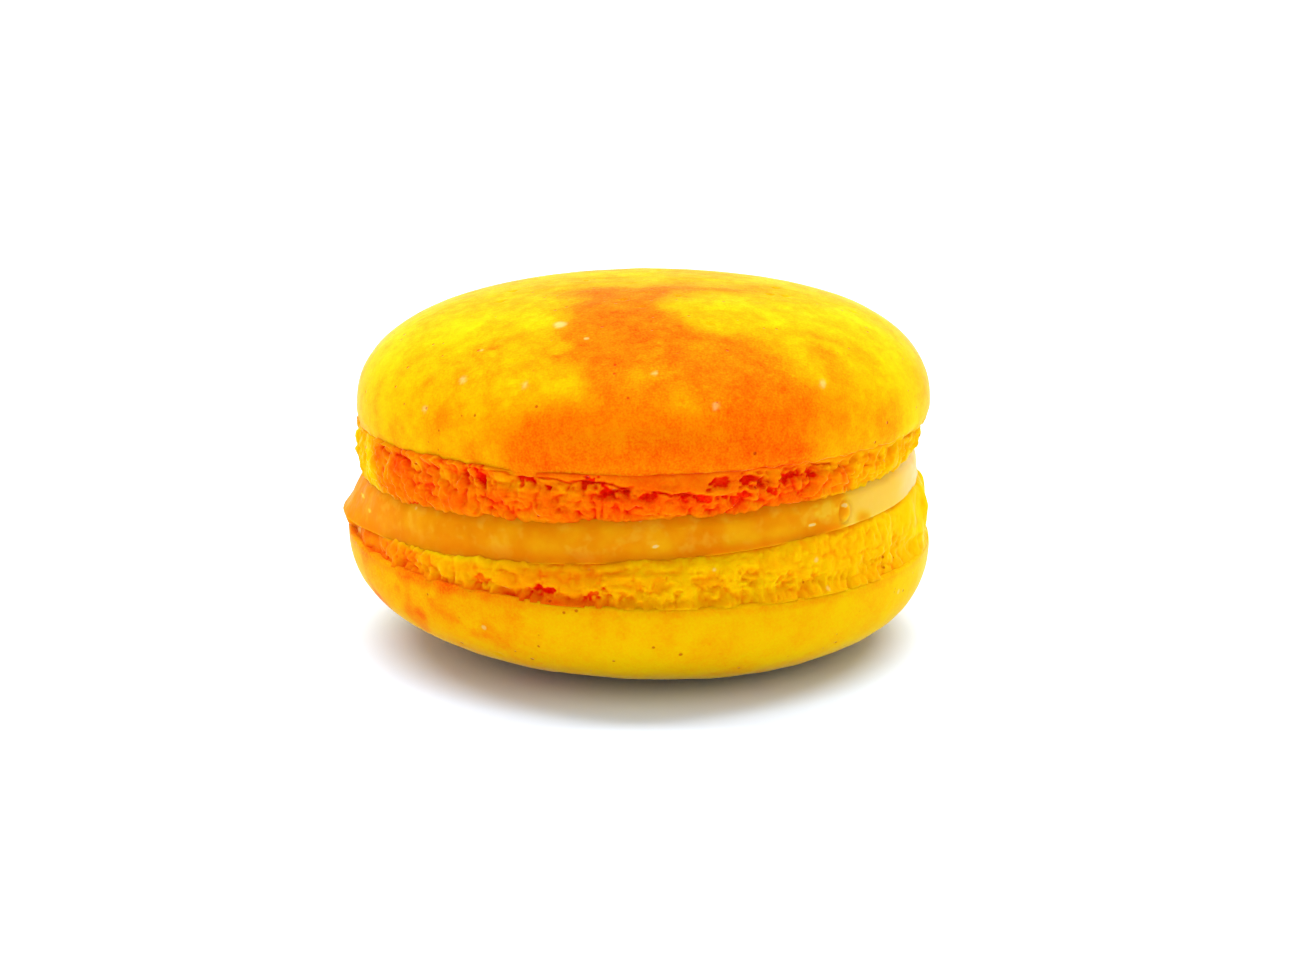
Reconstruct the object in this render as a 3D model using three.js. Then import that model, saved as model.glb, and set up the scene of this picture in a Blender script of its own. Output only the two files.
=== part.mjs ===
import * as THREE from 'three';
import { mergeVertices } from 'three/addons/utils/BufferGeometryUtils.js';

// A french macaron lying flat: two almond shells with ruffled feet and cream squeezed between them.
// Millimetres. +Z is up, +X is right and -Y is the front; the lower shell rests on Z = 0.

// Cap of the upper shell
const capRadius = 22.5;
const capShiftX = 0.33;
const capRise = 9.3;
const capTuck = 0.97;
const capEdgeRadius = 22.3;
const capPower = 2.44;

// Cap of the lower shell, its round side down
const baseRadius = 23.0;
const baseDepth = 8.32;
const basePower = 2.48;
const restRadius = 6.6;
const restShift = { x: 1.6, y: -0.3 };

// Tipped planes that part the macaron; riseX and riseY are the slopes over one cap radius
const capEdge = { height: 17.5, riseX: 0.26, riseY: -0.3 };
const creamTop = { height: 13.8, riseX: 0.95, riseY: -0.4 };
const creamBottom = { height: 11.81, riseX: 1.38, riseY: 0.05 };
const baseEdge = { height: 8.3, riseX: -0.51, riseY: 0.3 };

// Feet: radius at equal steps from the edge of the cap to the cream
const upperFootRadii = [21.75, 21.9, 22.05, 22.1, 22.0, 21.8, 21.5];
const lowerFootRadii = [22.5, 22.55, 22.6, 22.55, 22.4, 22.15, 21.7];
const footRimRadius = 21.4;
const footRimRound = 0.08;

// Cream: radius at equal steps from its underside to its top
const creamRadii = [21.6, 21.85, 21.95, 21.9, 21.6];
const creamFaceRadius = 21.3;
const creamGap = 0.3;
const creamLip = 0.03;
const creamBulge = { angle: 184, reach: 8.5, out: 1.2, sagPower: 1.3 };

// Lump of the lower foot that stands out at the left, measured along the foot from its cap
const footLump = { angle: 183, along: 1.4, width: 5.0, height: 2.2, out: 0.95 };

// Loose crumb all round each foot
const crumbs = 130;
const crumbWidth = [1.8, 3.4];
const crumbFlatness = 0.8;
const crumbRise = [-0.22, 0.3];
const crumbBand = [0.15, 0.9];

// Tears in the front of the upper foot: angle in degrees, then below the edge, width, height and depth
const upperTears = [
  [218, 0.7, 2.0, 1.2, 0.3],
  [238.7, 0.7, 2.2, 1.1, 0.75],
  [248.5, 0.7, 1.6, 1.0, 0.4],
  [261, 0.6, 1.4, 0.8, 0.4],
  [265, 1.1, 2.2, 1.0, 0.65],
  [271.3, 1.4, 1.9, 0.9, 0.5],
  [282, 1.8, 2.3, 1.1, 0.5],
  [285.4, 0.7, 1.7, 0.9, 0.55],
  [289, 2.1, 1.9, 1.1, 0.5],
  [291.6, 0.8, 2.5, 1.1, 0.9],
  [299.2, 0.8, 1.8, 1.1, 0.65],
  [304, 0.8, 1.3, 0.9, 0.4],
  [313, 1.0, 2.2, 1.0, 0.25],
];

// Hollows in the front of the lower foot: angle, above the edge, width, height and depth
const lowerTears = [
  [239.4, 1.1, 1.8, 0.9, 0.4],
  [252, 0.9, 2.4, 1.3, 0.7],
  [262.2, 0.9, 1.4, 0.9, 0.4],
  [267.3, 0.9, 1.4, 0.8, 0.35],
  [274, 1.9, 1.8, 1.1, 0.35],
  [282.7, 1.7, 1.9, 2.2, 0.5],
  [290.5, 2.1, 2.6, 1.3, 0.55],
  [297.8, 1.6, 1.9, 1.4, 0.4],
  [305, 1.4, 1.3, 0.9, 0.3],
  [319, 1.8, 1.6, 1.2, 0.3],
  [329, 2.0, 2.2, 1.4, 0.3],
];

// Tears on the side away from the front, drawn at random between these limits
const hiddenArc = [-28, 208];
const hiddenTears = 24;
const tearStart = 0.6;
const tearBand = 0.42;
const tearWidth = [1.3, 2.5];
const tearHeight = [0.8, 1.3];
const tearDepth = [0.3, 0.75];

// Seeds of the random draws
const upperSeed = 41;
const lowerSeed = 77;

// Fineness of the facets
const shellColumns = 156;
const creamColumns = 112;
const capRows = 10;
const footRows = 6;
const shoulderPower = 0.8;
const mergeDistance = 1e-5;

const degrees = Math.PI / 180;

function seededRandom(seed) {
  let state = seed;
  return () => {
    state = (state * 1664525 + 1013904223) % 4294967296;
    return state / 4294967296;
  };
}

function between([low, high], share) {
  return low + (high - low) * share;
}

function planeHeight(plane, radius, angle) {
  const share = radius / capRadius;
  return plane.height + share * (plane.riseX * Math.cos(angle) + plane.riseY * Math.sin(angle));
}

// Distance along the rim between two angles, in millimetres
function alongRim(angle, degreesOfOther) {
  const turn = angle / degrees - degreesOfOther;
  const shortest = turn - 360 * Math.round(turn / 360);
  return shortest * degrees * capRadius;
}

// How far a rounded patch reaches a spot: 1 at its middle, 0 outside it
function patchShare(spot, angle, along) {
  const sideways = alongRim(angle, spot.angle) / (spot.width / 2);
  const upright = (along - spot.along) / (spot.height / 2);
  const distance = Math.hypot(sideways, upright);
  return Math.exp(-distance * distance);
}

function spotsFromTears(tears) {
  return tears.map(([angle, along, width, height, depth]) => ({ angle, along, width, height, out: -depth }));
}

function hiddenSpots(random, footHeight) {
  const spots = [];
  for (let i = 0; i < hiddenTears; i += 1) {
    const step = (i + random()) / hiddenTears;
    spots.push({
      angle: between(hiddenArc, step),
      along: tearStart + tearBand * footHeight * random(),
      width: between(tearWidth, random()),
      height: between(tearHeight, random()),
      out: -between(tearDepth, random()),
    });
  }
  return spots;
}

function crumbSpots(random, footHeight) {
  const spots = [];
  for (let i = 0; i < crumbs; i += 1) {
    const width = between(crumbWidth, random());
    spots.push({
      angle: (360 * (i + random())) / crumbs,
      along: footHeight * between(crumbBand, random()),
      width,
      height: crumbFlatness * width,
      out: between(crumbRise, random()),
    });
  }
  return spots;
}

// A foot runs from the edge of its cap (share 0) to the cream (share 1)
function footRow(foot, share) {
  const position = share * (foot.radii.length - 1);
  const step = Math.min(Math.floor(position), foot.radii.length - 2);
  const plain = between([foot.radii[step], foot.radii[step + 1]], position - step);
  return (angle) => {
    const start = planeHeight(foot.edge, plain, angle);
    const end = planeHeight(foot.cream, plain, angle) + foot.gap;
    const along = share * Math.abs(end - start);
    let radius = plain;
    for (const spot of foot.spots) {
      radius += spot.out * patchShare(spot, angle, along);
    }
    return { radius, height: between([start, end], share) };
  };
}

// Steps along a foot; the last stops just short of the cream so that the rim is rounded
function footShares(footHeight) {
  const shares = [];
  for (let i = 0; i < footRows; i += 1) {
    shares.push(i / footRows);
  }
  shares.push(1 - footRimRound / footHeight);
  return shares;
}

function planeRow(plane, lift, radius) {
  return (angle) => ({ radius, height: planeHeight(plane, radius, angle) + lift });
}

// Height of a flattened dome over its widest ring, as a share of its rise
function domeShare(radiusShare, power) {
  return (1 - radiusShare ** power) ** (1 / power);
}

// Radius shares of a dome from its widest ring to its middle, closer together at the shoulder
function domeSteps(count) {
  const steps = [];
  for (let i = 1; i < count; i += 1) {
    steps.push(Math.cos((i / count) * (Math.PI / 2)) ** shoulderPower);
  }
  return steps;
}

// Turns the rows into a closed lathe body, from the lower end of the axis to the upper end
function turnedBody(rows, columns) {
  const profile = rows.map((row) => new THREE.Vector2(row(0).radius, row(0).height));
  const lathe = new THREE.LatheGeometry(profile, columns);
  lathe.rotateX(Math.PI / 2);
  const position = lathe.getAttribute('position');
  for (let i = 0; i < position.count; i += 1) {
    const column = Math.floor(i / rows.length) % columns;
    const angle = (2 * Math.PI * column) / columns - Math.PI / 2;
    const { radius, height, shiftX = 0, shiftY = 0 } = rows[i % rows.length](angle);
    position.setXYZ(i, shiftX + radius * Math.cos(angle), shiftY + radius * Math.sin(angle), height);
  }
  lathe.deleteAttribute('normal');
  lathe.deleteAttribute('uv');
  const body = mergeVertices(lathe, mergeDistance);
  body.setIndex(withoutFlatTriangles(Array.from(body.getIndex().array)));
  body.computeVertexNormals();
  return body;
}

// Drops the triangles that fold to nothing where the lathe meets its axis
function withoutFlatTriangles(index) {
  const kept = [];
  for (let i = 0; i < index.length; i += 3) {
    const [a, b, c] = index.slice(i, i + 3);
    if (a !== b && b !== c && c !== a) {
      kept.push(a, b, c);
    }
  }
  return kept;
}

function upperShell() {
  const random = seededRandom(upperSeed);
  const footHeight = capEdge.height - creamTop.height;
  const foot = {
    radii: upperFootRadii,
    edge: capEdge,
    cream: creamTop,
    gap: creamGap / 2,
    spots: [
      ...spotsFromTears(upperTears),
      ...hiddenSpots(random, footHeight),
      ...crumbSpots(random, footHeight),
    ],
  };
  const capRow = (radius, lift) => (angle) => ({
    radius,
    height: planeHeight(capEdge, radius, angle) + lift,
    shiftX: capShiftX,
  });
  const rows = [
    planeRow(creamTop, foot.gap, 0),
    planeRow(creamTop, foot.gap, footRimRadius),
  ];
  for (const share of footShares(footHeight).reverse()) {
    rows.push(footRow(foot, share));
  }
  rows.push(capRow(capEdgeRadius, 0));
  rows.push(capRow(capRadius, capTuck));
  for (const step of domeSteps(capRows)) {
    rows.push(capRow(step * capRadius, capTuck + capRise * domeShare(step, capPower)));
  }
  rows.push(capRow(0, capTuck + capRise));
  return turnedBody(rows, shellColumns);
}

function lowerShell() {
  const random = seededRandom(lowerSeed);
  const footHeight = creamBottom.height - baseEdge.height;
  const foot = {
    radii: lowerFootRadii,
    edge: baseEdge,
    cream: creamBottom,
    gap: -creamGap / 2,
    spots: [
      footLump,
      ...spotsFromTears(lowerTears),
      ...hiddenSpots(random, footHeight),
      ...crumbSpots(random, footHeight),
    ],
  };
  const onFloor = (radius) => () => ({ radius, height: 0, shiftX: restShift.x, shiftY: restShift.y });
  const baseRow = (step) => (angle) => {
    const radius = restRadius + step * (baseRadius - restRadius);
    const height = planeHeight(baseEdge, radius, angle) - baseDepth * domeShare(step, basePower);
    return {
      radius,
      height: Math.max(0, height),
      shiftX: restShift.x * (1 - step),
      shiftY: restShift.y * (1 - step),
    };
  };
  const rows = [onFloor(0), onFloor(restRadius)];
  for (const step of domeSteps(capRows).reverse()) {
    rows.push(baseRow(step));
  }
  rows.push(baseRow(1));
  for (const share of footShares(footHeight)) {
    rows.push(footRow(foot, share));
  }
  rows.push(planeRow(creamBottom, foot.gap, footRimRadius));
  rows.push(planeRow(creamBottom, foot.gap, 0));
  return turnedBody(rows, shellColumns);
}

function cream() {
  const sideRow = (plain, share) => (angle) => {
    const sideways = alongRim(angle, creamBulge.angle) / creamBulge.reach;
    const sag = (1 - share) ** creamBulge.sagPower;
    const radius = plain + creamBulge.out * sag * Math.exp(-sideways * sideways);
    const bottom = planeHeight(creamBottom, radius, angle) + creamGap / 2;
    const top = planeHeight(creamTop, radius, angle) - creamGap / 2;
    return { radius, height: between([bottom, top], share) };
  };
  const rows = [
    planeRow(creamBottom, creamGap / 2, 0),
    planeRow(creamBottom, creamGap / 2, creamFaceRadius),
  ];
  creamRadii.forEach((plain, i) => {
    const share = between([creamLip, 1 - creamLip], i / (creamRadii.length - 1));
    rows.push(sideRow(plain, share));
  });
  rows.push(planeRow(creamTop, -creamGap / 2, creamFaceRadius));
  rows.push(planeRow(creamTop, -creamGap / 2, 0));
  return turnedBody(rows, creamColumns);
}

function namedPiece(name, geometry, color, roughness) {
  const material = new THREE.MeshStandardMaterial({ color, roughness, metalness: 0 });
  const mesh = new THREE.Mesh(geometry, material);
  mesh.name = name;
  return mesh;
}

const macaron = new THREE.Group();
macaron.name = 'macaron';
macaron.add(namedPiece('top_shell', upperShell(), 0xfb9a0c, 0.75));
macaron.add(namedPiece('filling', cream(), 0xe7920f, 0.4));
macaron.add(namedPiece('bottom_shell', lowerShell(), 0xf6b405, 0.75));

export default macaron;
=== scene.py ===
"""A french macaron on a pale floor: two almond shells with ruffled feet around a layer of ochre cream.

The pieces are fine meshes shaped in code from the sizes of the solids that they stand for.
Lengths are in millimetres until a mesh is made; angles go anticlockwise from +X, seen from above.
"""

import itertools
import math

import bpy
import numpy as np
from mathutils import Matrix, Vector


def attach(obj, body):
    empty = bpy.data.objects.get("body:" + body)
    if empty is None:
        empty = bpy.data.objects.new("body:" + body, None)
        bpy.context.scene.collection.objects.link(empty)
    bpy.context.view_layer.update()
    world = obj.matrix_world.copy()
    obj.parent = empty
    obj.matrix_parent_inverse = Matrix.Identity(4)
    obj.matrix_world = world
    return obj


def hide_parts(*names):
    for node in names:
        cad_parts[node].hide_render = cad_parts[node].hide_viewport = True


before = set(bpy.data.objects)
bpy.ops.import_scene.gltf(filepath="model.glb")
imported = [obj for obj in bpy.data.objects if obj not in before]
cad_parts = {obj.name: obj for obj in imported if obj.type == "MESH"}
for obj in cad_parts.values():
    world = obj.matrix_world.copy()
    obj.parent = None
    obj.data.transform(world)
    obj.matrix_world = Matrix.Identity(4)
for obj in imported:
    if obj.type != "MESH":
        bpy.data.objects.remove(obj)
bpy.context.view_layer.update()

MM = 0.001

# The photo's size in pixels, and where its camera stands
PHOTO_SIZE = (1305, 979)
CAMERA_AIM_HEIGHT = 13.6
CAMERA_DISTANCE = 202.5
CAMERA_ELEVATION = 13.92
FOCAL_PIXELS = 2554.7
AIM_PIXEL = (638.9, 457.9)
SENSOR_WIDTH = 36.0
NEAREST_SEEN = 0.01

# Stage, in metres: the floor lies a hair lower than the macaron, so that their faces don't meet
FLOOR_REACH = 4.0
FLOOR_DROP = 0.00002
FLOOR_TINTS = ((0.77, 0.87, 0.99, 1), (0.79, 0.89, 1.0, 1))
SKY_COLOR = (0.9, 0.94, 1.0, 1)
SKY_STRENGTH = 0.81
KEY_PLACE = (0.0, 0.42, 1.5)
KEY_SIZE = (3.0, 0.5)
KEY_WATTS = 57
LIGHT_AIM = (0, 0, 0.015)

# Points round each mesh, and up the part of it that shows
CAP_COLUMNS = 560
CAP_ROWS = 144
DOME_STEPS = 200
BASE_ROWS = 130
FOOT_COLUMNS = 1360
FOOT_ROWS = 62
CREAM_COLUMNS = 900
CREAM_ROWS = 54

# Upper cap
CAP_RADIUS = 22.5
CAP_SHIFT_X = 0.33
CAP_RISE = 9.3
CAP_TUCK = 0.97
CAP_EDGE_RADIUS = 22.3
CAP_POWER = 2.44
EDGE_ROUND = 0.16
# How far the underside of a cap's edge reaches in, and where its rounding starts
LEDGE_REACH = 1.4
LEDGE_FLAT = 0.3

# Lower cap
BASE_RADIUS = 23.0
BASE_DEPTH = 8.32
BASE_POWER = 2.48
BASE_EDGE_ROUND = 0.26
REST_RADIUS = 6.6
REST_SHIFT = (1.6, -0.3)
# Rows of the flat spot start below the floor and are lifted to it
BELOW_FLOOR = -9.0
# Orange blotches, those at the lower left partly painted shade and reddish bounce light: angle, height
# over the floor, radius
BASE_BLOTCHES_AND_BOUNCE = [
    (218.0, 7.2, 0.7),
    (224.5, 5.8, 0.8),
    (228.5, 6.9, 0.6),
    (240.0, 5.2, 0.6),
    (206.0, 5.0, 0.9),
]

# Tipped planes: height at the axis, then the rise over one cap radius along X and along Y
CAP_EDGE = (17.5, 0.26, -0.3)
CREAM_TOP = (13.8, 0.95, -0.4)
CREAM_BOTTOM = (11.81, 1.38, 0.05)
BASE_EDGE = (8.3, -0.51, 0.3)

# Feet: radius at equal steps from the edge of the cap to the cream
UPPER_FOOT_RADII = [21.75, 21.9, 22.05, 22.1, 22.0, 21.8, 21.5]
LOWER_FOOT_RADII = [22.5, 22.55, 22.6, 22.55, 22.4, 22.15, 21.7]

# Rows that are hidden in the caps and the cream, at the start and at the end of the part that
# shows: radius and lift
FOOT_INTO_CAP = 0.5
HIDDEN_ROWS = 2
UPPER_FOOT_TURNS = ([(19.0, FOOT_INTO_CAP), (21.3, FOOT_INTO_CAP)], [(21.0, 0.02), (19.0, 0.02)])
LOWER_FOOT_TURNS = ([(19.0, -FOOT_INTO_CAP), (21.8, -FOOT_INTO_CAP)], [(21.0, 0.0), (19.0, 0.0)])
CREAM_TURNS = ([(18.0, 0.0), (20.6, 0.0)], [(20.6, 0.0), (18.0, 0.0)])

# Way along the skin from the middle of the upper cap to its lower edge
CAP_SKIN = 27.9

# Cream
CREAM_RADII = [22.0, 21.95, 21.95, 21.85, 21.5]
CREAM_OVERLAP = 0.35
# Painted highlights and pale patches on the cream: angle, share of its height, half the length,
# half the height as a share, strength
CREAM_HIGHLIGHTS_AND_PATCHES = [
    (305.0, 0.3, 0.45, 0.06, 1.0),
    (273.0, 0.34, 0.5, 0.06, 1.0),
    (313.2, 0.6, 0.22, 0.06, 1.0),
    (195.0, 0.6, 0.9, 0.06, 0.45),
    (202.0, 0.42, 0.6, 0.06, 0.4),
    (308.6, 0.62, 1.5, 0.3, 0.34),
]
# Where the cream swells out at the left, and the small bubble with a dent round it
CREAM_BULGE = {"angle": 184, "reach": 8.0, "out": 1.45, "power": 1.6}
CREAM_BLISTER = {"angle": 313.6, "share": 0.42, "reach": 0.55, "depth": 0.28}
# The lump at the left end of the lower foot
FOOT_LUMP = {"angle": 184, "along": 1.15, "width": 4.8, "height": 1.9, "out": 1.0}

# Where the skin of the upper cap hangs a little over the foot, and the height of the smooth lip
# under the cap's edge at some angles
EDGE_DROOP = {"angle": 246, "spread": 8, "reach": 0.4}
UPPER_LIP = [
    (200, 0.0),
    (236, 0.0),
    (250, 0.45),
    (262, 0.65),
    (268, 0.9),
    (272, 1.2),
    (284, 1.7),
    (288, 1.4),
    (290.5, 0.3),
    (300, 0.3),
    (312, 0.5),
    (330, 0.4),
    (360, 0.6),
    (450, 0.8),
    (540, 0.5),
]

# Tears in the upper foot: angle, distance from the cap's edge, width, height, depth
UPPER_TEARS = [
    (212, 0.3, 2.4, 0.8, 0.25),
    (219, 0.4, 2.6, 1.2, 0.3),
    (229, 0.3, 0.8, 0.8, 0.4),
    (238.7, 0.6, 2.2, 1.1, 0.8),
    (248.5, 0.7, 1.6, 1.0, 0.5),
    (253, 1.0, 0.5, 0.9, 0.5),
    (261, 0.6, 1.4, 0.8, 0.5),
    (265, 1.1, 2.2, 1.0, 0.8),
    (271.3, 1.4, 1.9, 0.9, 0.6),
    (277.7, 1.5, 0.9, 0.7, 0.5),
    (282, 1.8, 2.3, 1.1, 0.6),
    (285.4, 0.7, 1.7, 0.9, 0.7),
    (289, 2.1, 1.9, 1.1, 0.6),
    (291.6, 0.8, 2.5, 1.1, 1.1),
    (296.4, 1.6, 0.9, 0.9, 0.5),
    (299.2, 0.8, 1.8, 1.1, 0.8),
    (304, 0.8, 1.3, 0.9, 0.5),
    (313, 1.0, 2.2, 1.0, 0.25),
]
# Patches on the upper foot: angle, distance from the cap's edge, half the width and the height,
# and what they add to the stain
FOOT_PATCHES = [
    (200, 2.0, 2.4, 2.4, -0.16),
    (209, 0.9, 1.7, 0.9, 0.16),
    (217, 1.1, 1.7, 0.9, 0.22),
    (222, 0.8, 0.9, 0.6, -0.14),
    (226, 1.5, 0.8, 0.8, 0.14),
    (230, 1.0, 0.9, 0.6, -0.14),
    (243, 0.9, 1.3, 0.5, -0.08),
    (312, 1.2, 1.2, 0.5, 0.16),
    (319, 0.6, 1.4, 0.4, 0.14),
    (204, 2.7, 1.6, 0.8, -0.1),
    (246, 0.9, 1.3, 0.6, -0.18),
    (258, 0.9, 1.7, 0.5, -0.1),
    (258, 3.1, 1.7, 0.7, 0.13),
    (287, 2.9, 1.7, 0.7, 0.17),
    (299, 1.2, 1.1, 0.6, 0.1),
    (299, 2.6, 1.3, 0.7, 0.11),
    (309, 1.1, 1.2, 0.6, -0.12),
    (309, 2.4, 1.2, 0.7, -0.11),
    (321, 1.1, 1.5, 0.6, 0.15),
    (335, 1.2, 1.6, 0.6, 0.12),
]
# Tears in the lower foot, given in the same way as those in the upper one
LOWER_TEARS = [
    (239.4, 1.1, 1.8, 0.9, 0.45),
    (252, 0.9, 2.4, 1.3, 0.8),
    (262.2, 0.9, 1.4, 0.9, 0.5),
    (267.3, 0.9, 1.4, 0.8, 0.4),
    (274, 1.9, 1.8, 1.1, 0.4),
    (276.3, 1.0, 0.8, 0.7, 0.4),
    (282.7, 1.7, 1.9, 2.2, 0.55),
    (290.5, 2.1, 2.6, 1.3, 0.6),
    (297.8, 1.6, 1.9, 1.4, 0.45),
    (305, 1.4, 1.3, 0.9, 0.4),
    (319, 1.8, 1.6, 1.2, 0.35),
    (329, 2.0, 2.2, 1.4, 0.35),
]
# Pale specks on the lower foot, and at the left one painted highlight: angle, distance from the cap's
# edge, radius
FOOT_SPECKS_AND_HIGHLIGHT = [
    (304.8, 2.8, 0.2),
    (307, 0.6, 0.2),
    (283.9, 2.9, 0.18),
    (344, 0.9, 0.22),
    (196, 0.9, 0.5),
]
# Angles of the sides that the photo doesn't show, and how many tears each foot has there
HIDDEN_ARC = (-6, 192)
HIDDEN_TEARS = 24

# Orange stain on the upper cap. Places are on the cap's skin laid flat: the way from the
# middle of the dome along the skin, in its direction as seen from above.
STAIN_OUTLINE = [
    (-6.6, -8.2),
    (-5.0, -6.0),
    (-6.4, -3.6),
    (-4.4, -1.2),
    (-1.0, -2.0),
    (2.6, -0.7),
    (5.8, -2.1),
    (8.8, -1.0),
    (9.7, -2.6),
    (7.2, -4.0),
    (4.6, -3.9),
    (2.9, -5.8),
    (1.5, -8.0),
    (2.4, -10.2),
    (3.4, -12.4),
    (5.2, -13.6),
    (7.6, -12.9),
    (9.7, -15.0),
    (12.0, -17.9),
    (15.2, -18.8),
    (15.9, -19.8),
    (14.6, -21.5),
    (14.4, -26.0),
    (8.0, -32.0),
    (-6.0, -32.0),
    (-11.6, -27.0),
    (-11.5, -23.3),
    (-9.6, -21.1),
    (-7.4, -21.3),
    (-4.4, -21.6),
    (-5.4, -19.3),
    (-8.2, -17.6),
    (-8.8, -15.8),
    (-6.8, -15.0),
    (-6.0, -10.7),
]
# Patches on the same flat skin: place, radius across and along, and what they add to the stain
CAP_PATCHES = [
    (3.2, -22.8, 1.7, 1.6, -0.2),
    (-2.6, -24.4, 2.0, 1.4, -0.12),
    (2.6, -16.3, 3.0, 0.8, -0.08),
    (0.8, -19.8, 1.8, 0.9, -0.12),
    (12.4, -23.6, 3.2, 2.6, 0.07),
    (8.0, -26.0, 4.6, 2.0, 0.04),
    (10.2, -12.4, 1.5, 1.0, 0.18),
    (13.8, -11.0, 2.6, 1.0, 0.14),
    (14.0, -14.7, 2.0, 1.6, 0.16),
    (16.9, -12.0, 1.8, 1.4, 0.14),
    (19.8, -15.2, 2.2, 1.8, 0.14),
    (-16.8, -15.0, 1.0, 0.9, 0.14),
    (-17.0, -18.3, 2.6, 1.2, 0.12),
    (-14.4, -24.0, 1.0, 1.9, 0.24),
    (-9.6, -13.6, 2.2, 1.6, 0.12),
    (-11.5, -18.8, 3.4, 1.3, -0.1),
    (-7.0, -20.6, 2.6, 0.9, -0.14),
    (-12.4, -13.2, 2.6, 1.2, 0.1),
    (-13.2, -20.8, 2.0, 1.2, -0.12),
    (-9.1, -17.7, 1.7, 1.0, 0.08),
    (-19.5, -13.9, 2.6, 2.0, -0.06),
    (15.8, -8.3, 3.0, 2.2, 0.08),
    (24.3, -12.0, 2.2, 2.6, -0.12),
]
# Pale flecks on the upper cap: place on the flat skin, radius
PALE_FLECKS = [
    (-6.2, -12.0, 0.6),
    (0.8, -19.8, 0.2),
    (5.4, -22.3, 0.32),
    (13.6, -17.4, 0.28),
    (-8.8, -19.4, 0.32),
    (-13.6, -16.6, 0.28),
    (-17.4, -16.8, 0.3),
]


def between(low, high, share):
    """The value at a share of the way from low to high."""
    return low + (high - low) * share


def smooth(low, high, value):
    """0 below low, 1 above high and a smooth rise between; low may be the larger one."""
    share = np.clip((value - low) / (high - low), 0, 1)
    return share * share * (3 - 2 * share)


def curve(values, share):
    """Smooth curve through equally spaced values, read at shares of the way."""
    values = np.array([values[0]] + list(values) + [values[-1]], float)
    place = np.clip(share, 0, 1) * (len(values) - 3)
    first = np.minimum(place.astype(int), len(values) - 4)
    t = place - first
    a, b, c, d = (values[first + step] for step in range(4))
    return b + 0.5 * t * (c - a + t * (2 * a - 5 * b + 4 * c - d + t * (3 * (b - c) + d - a)))


def plane_height(plane, x, y):
    """Height of a tipped plane over a place."""
    return plane[0] + (plane[1] * x + plane[2] * y) / CAP_RADIUS


def turn_from(theta, degrees):
    """Signed degrees from an angle in degrees to theta in radians, the short way round."""
    turn = np.degrees(theta) - degrees
    return turn - 360 * np.round(turn / 360)


def around(theta, degrees, reach):
    """1 at an angle, fading smoothly to both sides over a reach in degrees."""
    return np.exp(-((turn_from(theta, degrees) / reach) ** 2))


def along_rim(theta, degrees):
    """Way along the rim in millimetres from an angle to theta."""
    return np.radians(turn_from(theta, degrees)) * CAP_RADIUS


# Seeded noise


def lattice(corner, seed):
    """A random number from -1 to 1 for each whole-numbered corner."""
    i, j, k = (corner[..., axis].astype(np.int64).astype(np.uint32) for axis in range(3))
    mixed = i * np.uint32(73856093) ^ j * np.uint32(19349663) ^ k * np.uint32(83492791)
    mixed = mixed ^ np.uint32(seed * 2654435761 % 4294967296)
    mixed = (mixed ^ (mixed >> np.uint32(15))) * np.uint32(2246822519)
    mixed = (mixed ^ (mixed >> np.uint32(13))) * np.uint32(3266489917)
    mixed = mixed ^ (mixed >> np.uint32(16))
    return mixed.astype(np.float64) / 2147483648 - 1


def soft_noise(points, cell, seed):
    """Smooth noise from -1 to 1 with features about one cell wide."""
    scaled = points / cell
    base = np.floor(scaled)
    part = scaled - base
    part = part * part * (3 - 2 * part)
    total = np.zeros(points.shape[:-1])
    for step in itertools.product((0, 1), repeat=3):
        weight = np.ones(points.shape[:-1])
        for axis in range(3):
            weight = weight * (part[..., axis] if step[axis] else 1 - part[..., axis])
        total += weight * lattice(base + np.array(step), seed)
    return total


def cells(points, cell, seed):
    """Distance to the nearest of some scattered points, and the random number that it carries."""
    scaled = points / cell
    base = np.floor(scaled)
    nearest = np.full(points.shape[:-1], np.inf)
    number = np.zeros(points.shape[:-1])
    for step in itertools.product((-1, 0, 1), repeat=3):
        corner = base + np.array(step)
        jitter = np.stack([lattice(corner, seed + axis) for axis in range(3)], -1)
        distance = np.linalg.norm(corner + 0.5 + 0.42 * jitter - scaled, axis=-1)
        closer = distance < nearest
        number = np.where(closer, lattice(corner, seed + 7), number)
        nearest = np.where(closer, distance, nearest)
    return nearest, number


# Meshes turned round the upright axis


def spaced_profile(points, count):
    """Points at equal distances along a line of points."""
    points = np.array(points, float)
    steps = np.linalg.norm(np.diff(points, axis=0), axis=1)
    length = np.concatenate([[0], np.cumsum(steps)])
    wanted = np.linspace(0, length[-1], count)
    return np.stack([np.interp(wanted, length, points[:, axis]) for axis in range(2)], 1)


def grid_normals(points):
    """Outward normals of a grid whose columns go round and whose rows go up the outside."""
    sideways = np.roll(points, -1, axis=0) - np.roll(points, 1, axis=0)
    upward = np.gradient(points, axis=1)
    normal = np.cross(sideways, upward)
    return normal / np.maximum(np.linalg.norm(normal, axis=-1, keepdims=True), 1e-12)


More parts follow.
